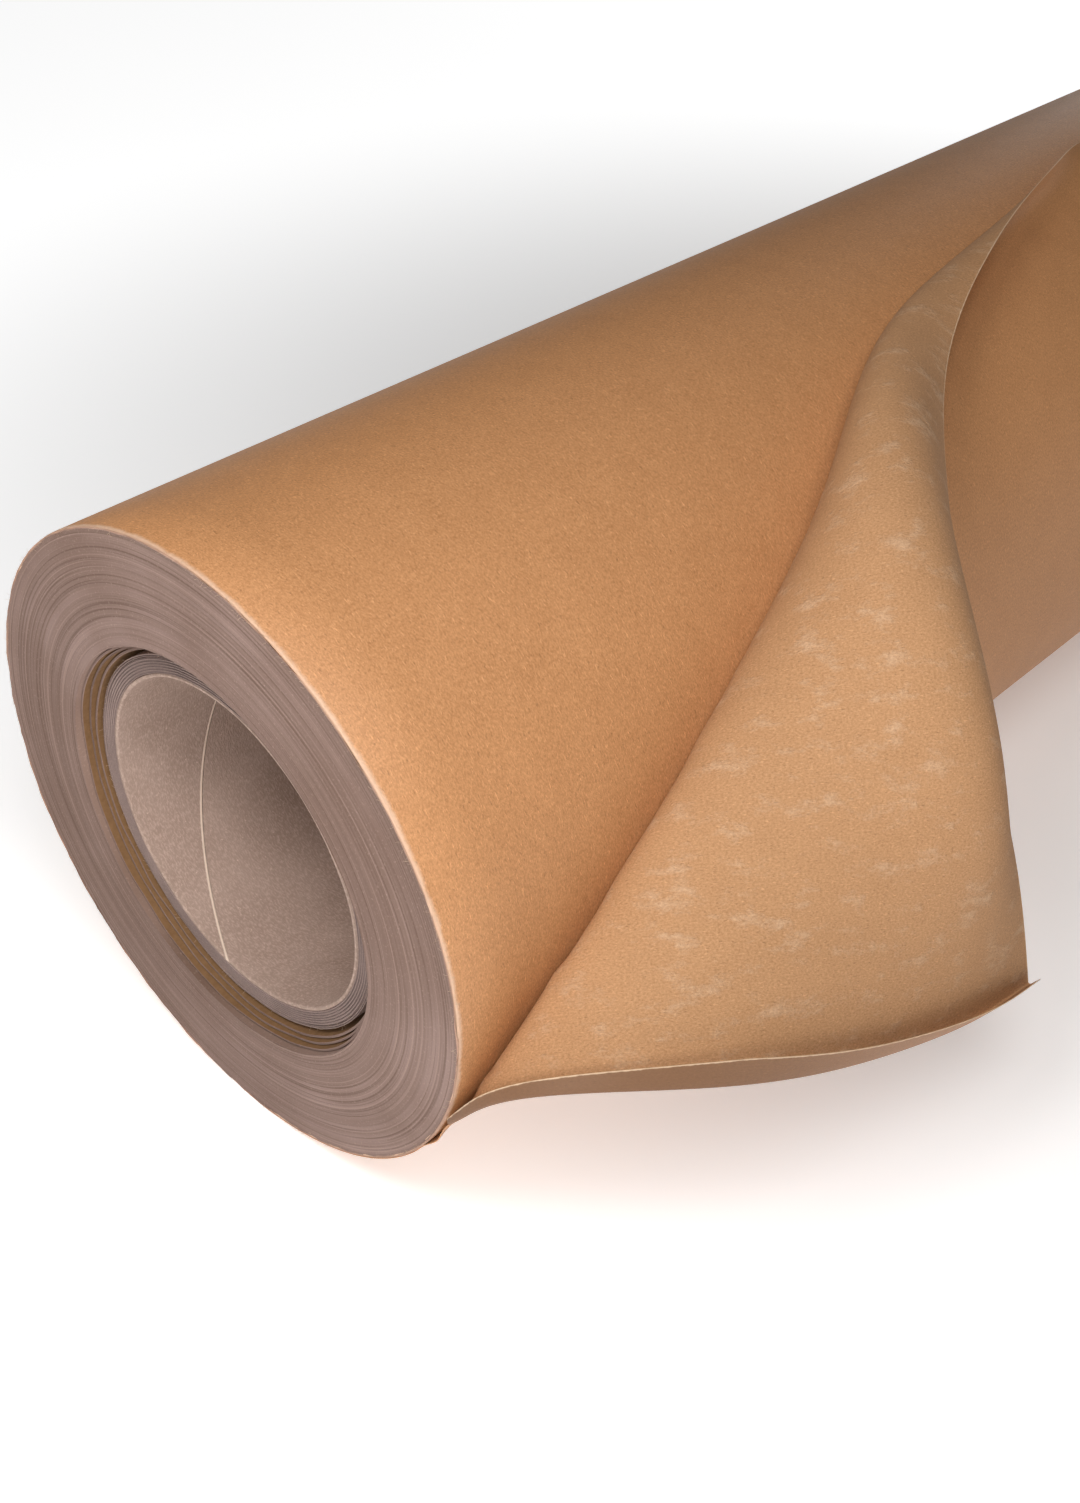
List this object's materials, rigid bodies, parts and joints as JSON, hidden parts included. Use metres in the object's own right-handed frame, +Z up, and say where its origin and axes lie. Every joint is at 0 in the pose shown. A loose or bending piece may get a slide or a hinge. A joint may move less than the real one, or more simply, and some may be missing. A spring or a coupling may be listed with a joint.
{
  "type": "wrapping paper roll",
  "caption": "Roll of plain brown kraft wrapping paper wound on a cardboard core, with its loose corner peeled back over a diagonal fold.",
  "frame": {"origin": "on the underside of the roll, below its axis and halfway along the web's width", "axes": "+X along the roll's axis from the end with the loose corner to the other end, +Y away from the side that the loose corner hangs over, +Z up"},
  "size_m": [0.6045, 0.1981, 0.1518],
  "materials": {
    "kraft_outside": "machine-smoothed brown kraft paper with a slight sheen and fine dark fibres",
    "kraft_inside": "rougher matt side of the kraft paper, with pale cloudy streaks",
    "turn_edges": "the cut edges of some hundreds of turns, grey-brown and finely ridged",
    "core_board": "matt grey recycled board, spirally wound",
    "core_ply": "grey-brown ply paper with a spiral seam",
    "start_tape": "gummed paper tape"
  },
  "bodies": {
    "roll": {"core_liner": "core_ply", "core_body": "core_board", "core_outer_ply": "core_ply", "start_tape": "start_tape", "inner_turns_1": "turn_edges", "inner_turns_2": "turn_edges", "inner_turns_3": "turn_edges", "main_turns": "turn_edges", "last_turn": "kraft_outside"},
    "loose_end": {"loose_end": "kraft_inside"}
  },
  "joints": [
    {"name": "loose_end_lift", "type": "hinge", "parent": "roll", "child": "loose_end", "pos_m": [-0.1775, -0.05179, 0.10558], "axis": [-0.9094, -0.1676, -0.3807], "range_deg": [0, 30]}
  ]
}
